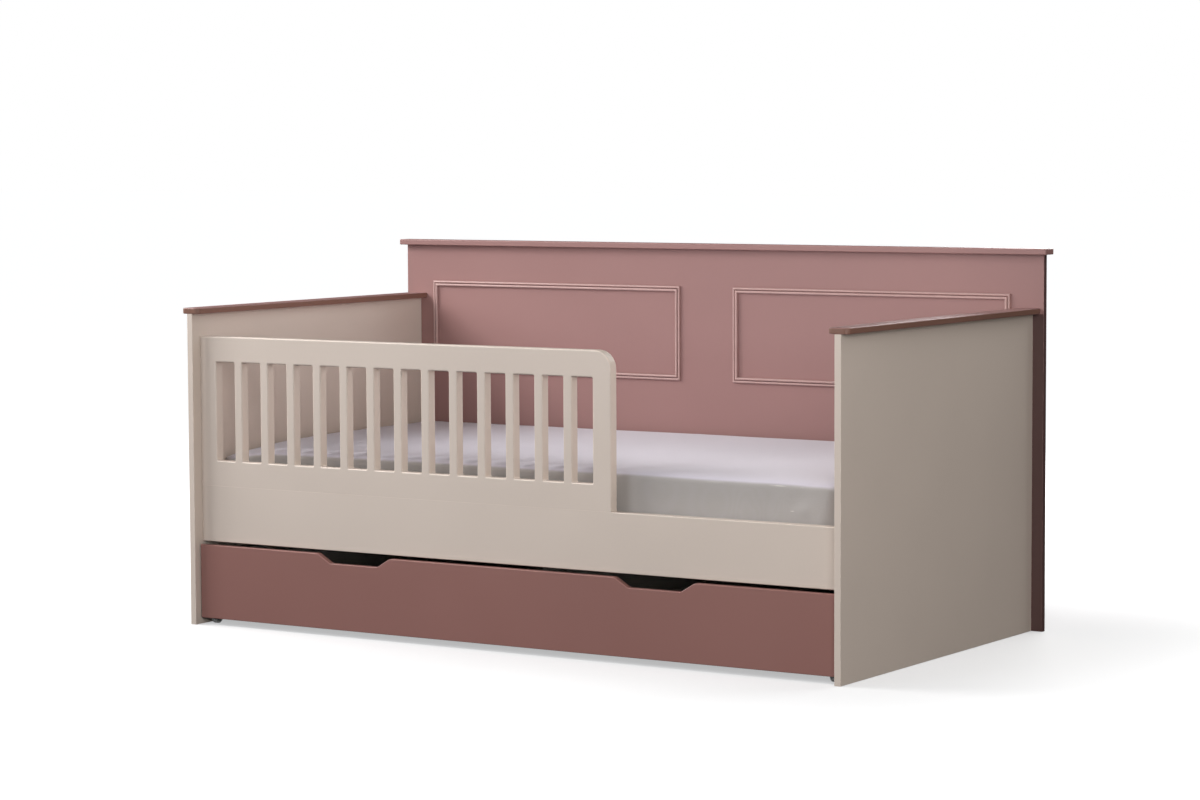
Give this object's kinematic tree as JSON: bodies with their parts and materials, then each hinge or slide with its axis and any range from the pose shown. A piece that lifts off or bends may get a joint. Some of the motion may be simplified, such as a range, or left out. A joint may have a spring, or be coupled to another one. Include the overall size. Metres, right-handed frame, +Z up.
{
  "type": "toddler bed",
  "caption": "Day bed for a toddler: panelled back, capped end panels, slatted half guard on the front rail, mattress, and a rolling trundle drawer with hand cut-outs.",
  "frame": {"origin": "on the floor, under the middle of the bed's outline", "axes": "+X along the bed towards the end without the guard, +Y from the open front to the back panel, +Z up"},
  "size_m": [2.14, 1.106, 1.037],
  "materials": {
    "beige_lacquer": "satin lacquer on fibreboard, greige",
    "pink_lacquer": "satin lacquer on fibreboard, dusty pink",
    "drawer_board": "melamine-faced board, off-white",
    "pine": "planed, unfinished pine",
    "beech": "fluted beech, unfinished",
    "zinc_steel": "bright zinc plate",
    "black_steel": "black powder coat",
    "wheel_plastic": "moulded, light grey",
    "sheet_fabric": "cotton fitted sheet, pale lilac white"
  },
  "bodies": {
    "bed_frame": {"left_end_panel": "beige_lacquer", "right_end_panel": "beige_lacquer", "left_end_cap": "pink_lacquer", "right_end_cap": "pink_lacquer", "back_panel": "pink_lacquer", "back_cap": "pink_lacquer", "left_moulding_frame": "pink_lacquer", "right_moulding_frame": "pink_lacquer", "front_rail": "beige_lacquer", "guard_top_rail": "beige_lacquer", "guard_bottom_rail": "beige_lacquer", "guard_left_stile": "beige_lacquer", "guard_right_stile": "beige_lacquer", "guard_slats": "beige_lacquer", "guard_plates": "zinc_steel", "guard_screws": "zinc_steel", "guard_dowels": "beech", "rail_cams": "zinc_steel", "rail_cam_bolts": "zinc_steel", "rail_dowels": "beech", "back_panel_screws": "zinc_steel", "end_cap_dowels": "beech", "back_cap_dowels": "beech", "front_ledger": "pine", "rear_ledger": "pine", "ledger_screws": "zinc_steel", "bed_slats": "pine", "slat_screws": "zinc_steel"},
    "mattress": {"mattress": "sheet_fabric"},
    "drawer": {"drawer_front": "pink_lacquer", "drawer_left_side": "drawer_board", "drawer_right_side": "drawer_board", "drawer_back": "drawer_board", "drawer_divider": "drawer_board", "drawer_bottom": "drawer_board", "drawer_front_dowels": "beech", "drawer_screws": "zinc_steel", "caster_housings": "black_steel", "caster_axles": "zinc_steel", "caster_screws": "zinc_steel"},
    "front_left_wheel": {"front_left_wheel": "wheel_plastic"},
    "front_right_wheel": {"front_right_wheel": "wheel_plastic"},
    "rear_left_wheel": {"rear_left_wheel": "wheel_plastic"},
    "rear_right_wheel": {"rear_right_wheel": "wheel_plastic"}
  },
  "joints": [
    {"name": "drawer_slide", "type": "slide", "parent": "bed_frame", "child": "drawer", "axis": [0, -1, 0], "range_m": [0, 0.9]},
    {"name": "mattress_lift", "type": "slide", "parent": "bed_frame", "child": "mattress", "axis": [0, 0, 1], "range_m": [0, 0.14]},
    {"name": "front_left_wheel_spin", "type": "hinge", "parent": "drawer", "child": "front_left_wheel", "pos_m": [-0.977, -0.495, 0.018], "axis": [1, 0, 0], "continuous": true},
    {"name": "front_right_wheel_spin", "type": "hinge", "parent": "drawer", "child": "front_right_wheel", "pos_m": [0.977, -0.495, 0.018], "axis": [1, 0, 0], "continuous": true},
    {"name": "rear_left_wheel_spin", "type": "hinge", "parent": "drawer", "child": "rear_left_wheel", "pos_m": [-0.977, 0.488, 0.018], "axis": [1, 0, 0], "continuous": true},
    {"name": "rear_right_wheel_spin", "type": "hinge", "parent": "drawer", "child": "rear_right_wheel", "pos_m": [0.977, 0.488, 0.018], "axis": [1, 0, 0], "continuous": true}
  ],
  "couplings": [
    {"joint": "front_left_wheel_spin", "follows": "drawer_slide", "rad_per_m": 55.556},
    {"joint": "front_right_wheel_spin", "follows": "drawer_slide", "rad_per_m": 55.556},
    {"joint": "rear_left_wheel_spin", "follows": "drawer_slide", "rad_per_m": 55.556},
    {"joint": "rear_right_wheel_spin", "follows": "drawer_slide", "rad_per_m": 55.556}
  ]
}
